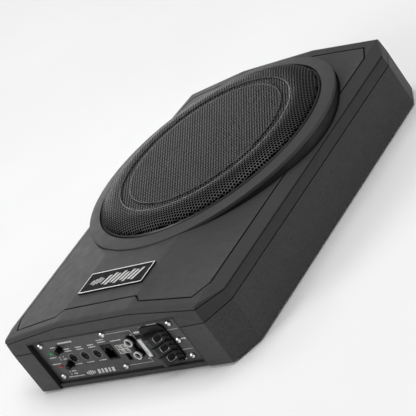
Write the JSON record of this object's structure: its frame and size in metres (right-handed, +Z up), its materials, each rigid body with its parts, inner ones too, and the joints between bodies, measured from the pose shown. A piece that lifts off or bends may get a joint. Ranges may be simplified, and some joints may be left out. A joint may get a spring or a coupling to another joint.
{
  "type": "powered car subwoofer",
  "caption": "Low, flat under-seat car subwoofer: chamfered two-part case, round domed grille on a raised ring, and a recessed amplifier control panel at one end.",
  "frame": {"origin": "bottom centre of the whole object's bounding box, on the plane that the feet stand on", "axes": "+Z up through the grille, -Y towards the control panel, +X to the right when facing the panel"},
  "size_m": [0.28, 0.3778, 0.0835],
  "materials": {
    "case_plastic": "fine-textured dark grey moulding",
    "grille_steel": "black powder coat",
    "badge_black": "gloss black with a bright border",
    "panel_paint": "satin grey paint",
    "led_green": "tinted lens",
    "led_red": "tinted lens",
    "black_plastic": "satin",
    "terminal_plastic": "satin",
    "pale_nylon": "satin",
    "bright_steel": "nickel plated",
    "clear_fuse": "clear moulding",
    "circuit_board": "solder mask",
    "heatsink_aluminium": "as extruded",
    "capacitor_sleeve": "shrink sleeve",
    "copper": "enamelled winding",
    "motor_steel": "black paint",
    "ferrite": "sintered, bare",
    "coil_former": "wound former",
    "spider_cloth": "resin-treated cloth",
    "cone_paper": "pressed fibre",
    "soft_rubber": "matt"
  },
  "bodies": {
    "enclosure": {"bottom_tray": "case_plastic", "top_cover": "case_plastic", "grille_ring": "case_plastic", "grille": "grille_steel", "badge_plate": "badge_black", "control_panel": "panel_paint", "power_led": "led_green", "protect_led": "led_red", "switch_block": "black_plastic", "remote_jack": "black_plastic", "high_level_socket": "pale_nylon", "phono_housing": "black_plastic", "phono_shell_upper": "bright_steel", "phono_shell_lower": "bright_steel", "fuse_holder": "black_plastic", "terminal_block": "terminal_plastic", "control_board": "circuit_board", "amplifier_board": "circuit_board", "heatsink": "heatsink_aluminium", "capacitor_left": "capacitor_sleeve", "capacitor_right": "capacitor_sleeve", "power_inductor": "copper", "woofer_basket": "motor_steel", "magnet_top_plate": "motor_steel", "woofer_magnet": "ferrite", "magnet_back_plate": "motor_steel", "spider": "spider_cloth", "woofer_surround": "soft_rubber", "woofer_gasket": "soft_rubber", "panel_screw_top_left": "bright_steel", "panel_screw_bottom_left": "bright_steel", "panel_screw_top_middle": "bright_steel", "panel_screw_bottom_middle": "bright_steel", "panel_screw_top_right": "bright_steel", "panel_screw_middle_right": "bright_steel", "panel_screw_bottom_right": "bright_steel", "foot_front_left": "soft_rubber", "case_screw_front_left": "motor_steel", "foot_front_right": "soft_rubber", "case_screw_front_right": "motor_steel", "foot_back_left": "soft_rubber", "case_screw_back_left": "motor_steel", "foot_back_right": "soft_rubber", "case_screw_back_right": "motor_steel", "crossover_trimmer_body": "black_plastic", "boost_trimmer_body": "black_plastic", "gain_trimmer_body": "black_plastic"},
    "cone_assembly": {"woofer_cone": "cone_paper", "dust_cap": "cone_paper", "voice_coil": "coil_former"},
    "phase_push": {"phase_button": "black_plastic"},
    "level_push": {"level_button": "black_plastic"},
    "crossover_rotor": {"crossover_trimmer_rotor": "black_plastic"},
    "boost_rotor": {"boost_trimmer_rotor": "black_plastic"},
    "gain_rotor": {"gain_trimmer_rotor": "black_plastic"},
    "fuse": {"blade_fuse": "clear_fuse"},
    "ground_screw": {"ground_terminal_screw": "bright_steel"},
    "remote_screw": {"remote_terminal_screw": "bright_steel"},
    "battery_screw": {"battery_terminal_screw": "bright_steel"}
  },
  "joints": [
    {"name": "cone_travel", "type": "slide", "parent": "enclosure", "child": "cone_assembly", "axis": [0, 0, 1], "range_m": [-0.006, 0.006], "stiffness_N_per_m": 2500, "deforming": ["woofer_surround", "spider"]},
    {"name": "phase_press", "type": "slide", "parent": "enclosure", "child": "phase_push", "axis": [0, 1, 0], "range_m": [0, 0.0025], "stiffness_N_per_m": 250},
    {"name": "level_press", "type": "slide", "parent": "enclosure", "child": "level_push", "axis": [0, 1, 0], "range_m": [0, 0.0025], "stiffness_N_per_m": 250},
    {"name": "crossover_turn", "type": "hinge", "parent": "enclosure", "child": "crossover_rotor", "pos_m": [-0.0597, -0.1779, 0.0309], "axis": [0, -1, 0], "range_deg": [-140, 140]},
    {"name": "boost_turn", "type": "hinge", "parent": "enclosure", "child": "boost_rotor", "pos_m": [-0.0435, -0.1779, 0.0309], "axis": [0, -1, 0], "range_deg": [-140, 140]},
    {"name": "gain_turn", "type": "hinge", "parent": "enclosure", "child": "gain_rotor", "pos_m": [-0.0273, -0.1779, 0.0309], "axis": [0, -1, 0], "range_deg": [-140, 140]},
    {"name": "fuse_pull", "type": "slide", "parent": "enclosure", "child": "fuse", "axis": [0, -1, 0], "range_m": [0, 0.0145]},
    {"name": "ground_screw_turn", "type": "hinge", "parent": "enclosure", "child": "ground_screw", "pos_m": [0.04785, -0.1839, 0.01772], "axis": [-0.7178, -0.6963, 0], "range_deg": [0, 360]},
    {"name": "remote_screw_turn", "type": "hinge", "parent": "enclosure", "child": "remote_screw", "pos_m": [0.04785, -0.1839, 0.02855], "axis": [-0.7178, -0.6963, 0], "range_deg": [0, 360]},
    {"name": "battery_screw_turn", "type": "hinge", "parent": "enclosure", "child": "battery_screw", "pos_m": [0.04785, -0.1839, 0.03938], "axis": [-0.7178, -0.6963, 0], "range_deg": [0, 360]}
  ]
}
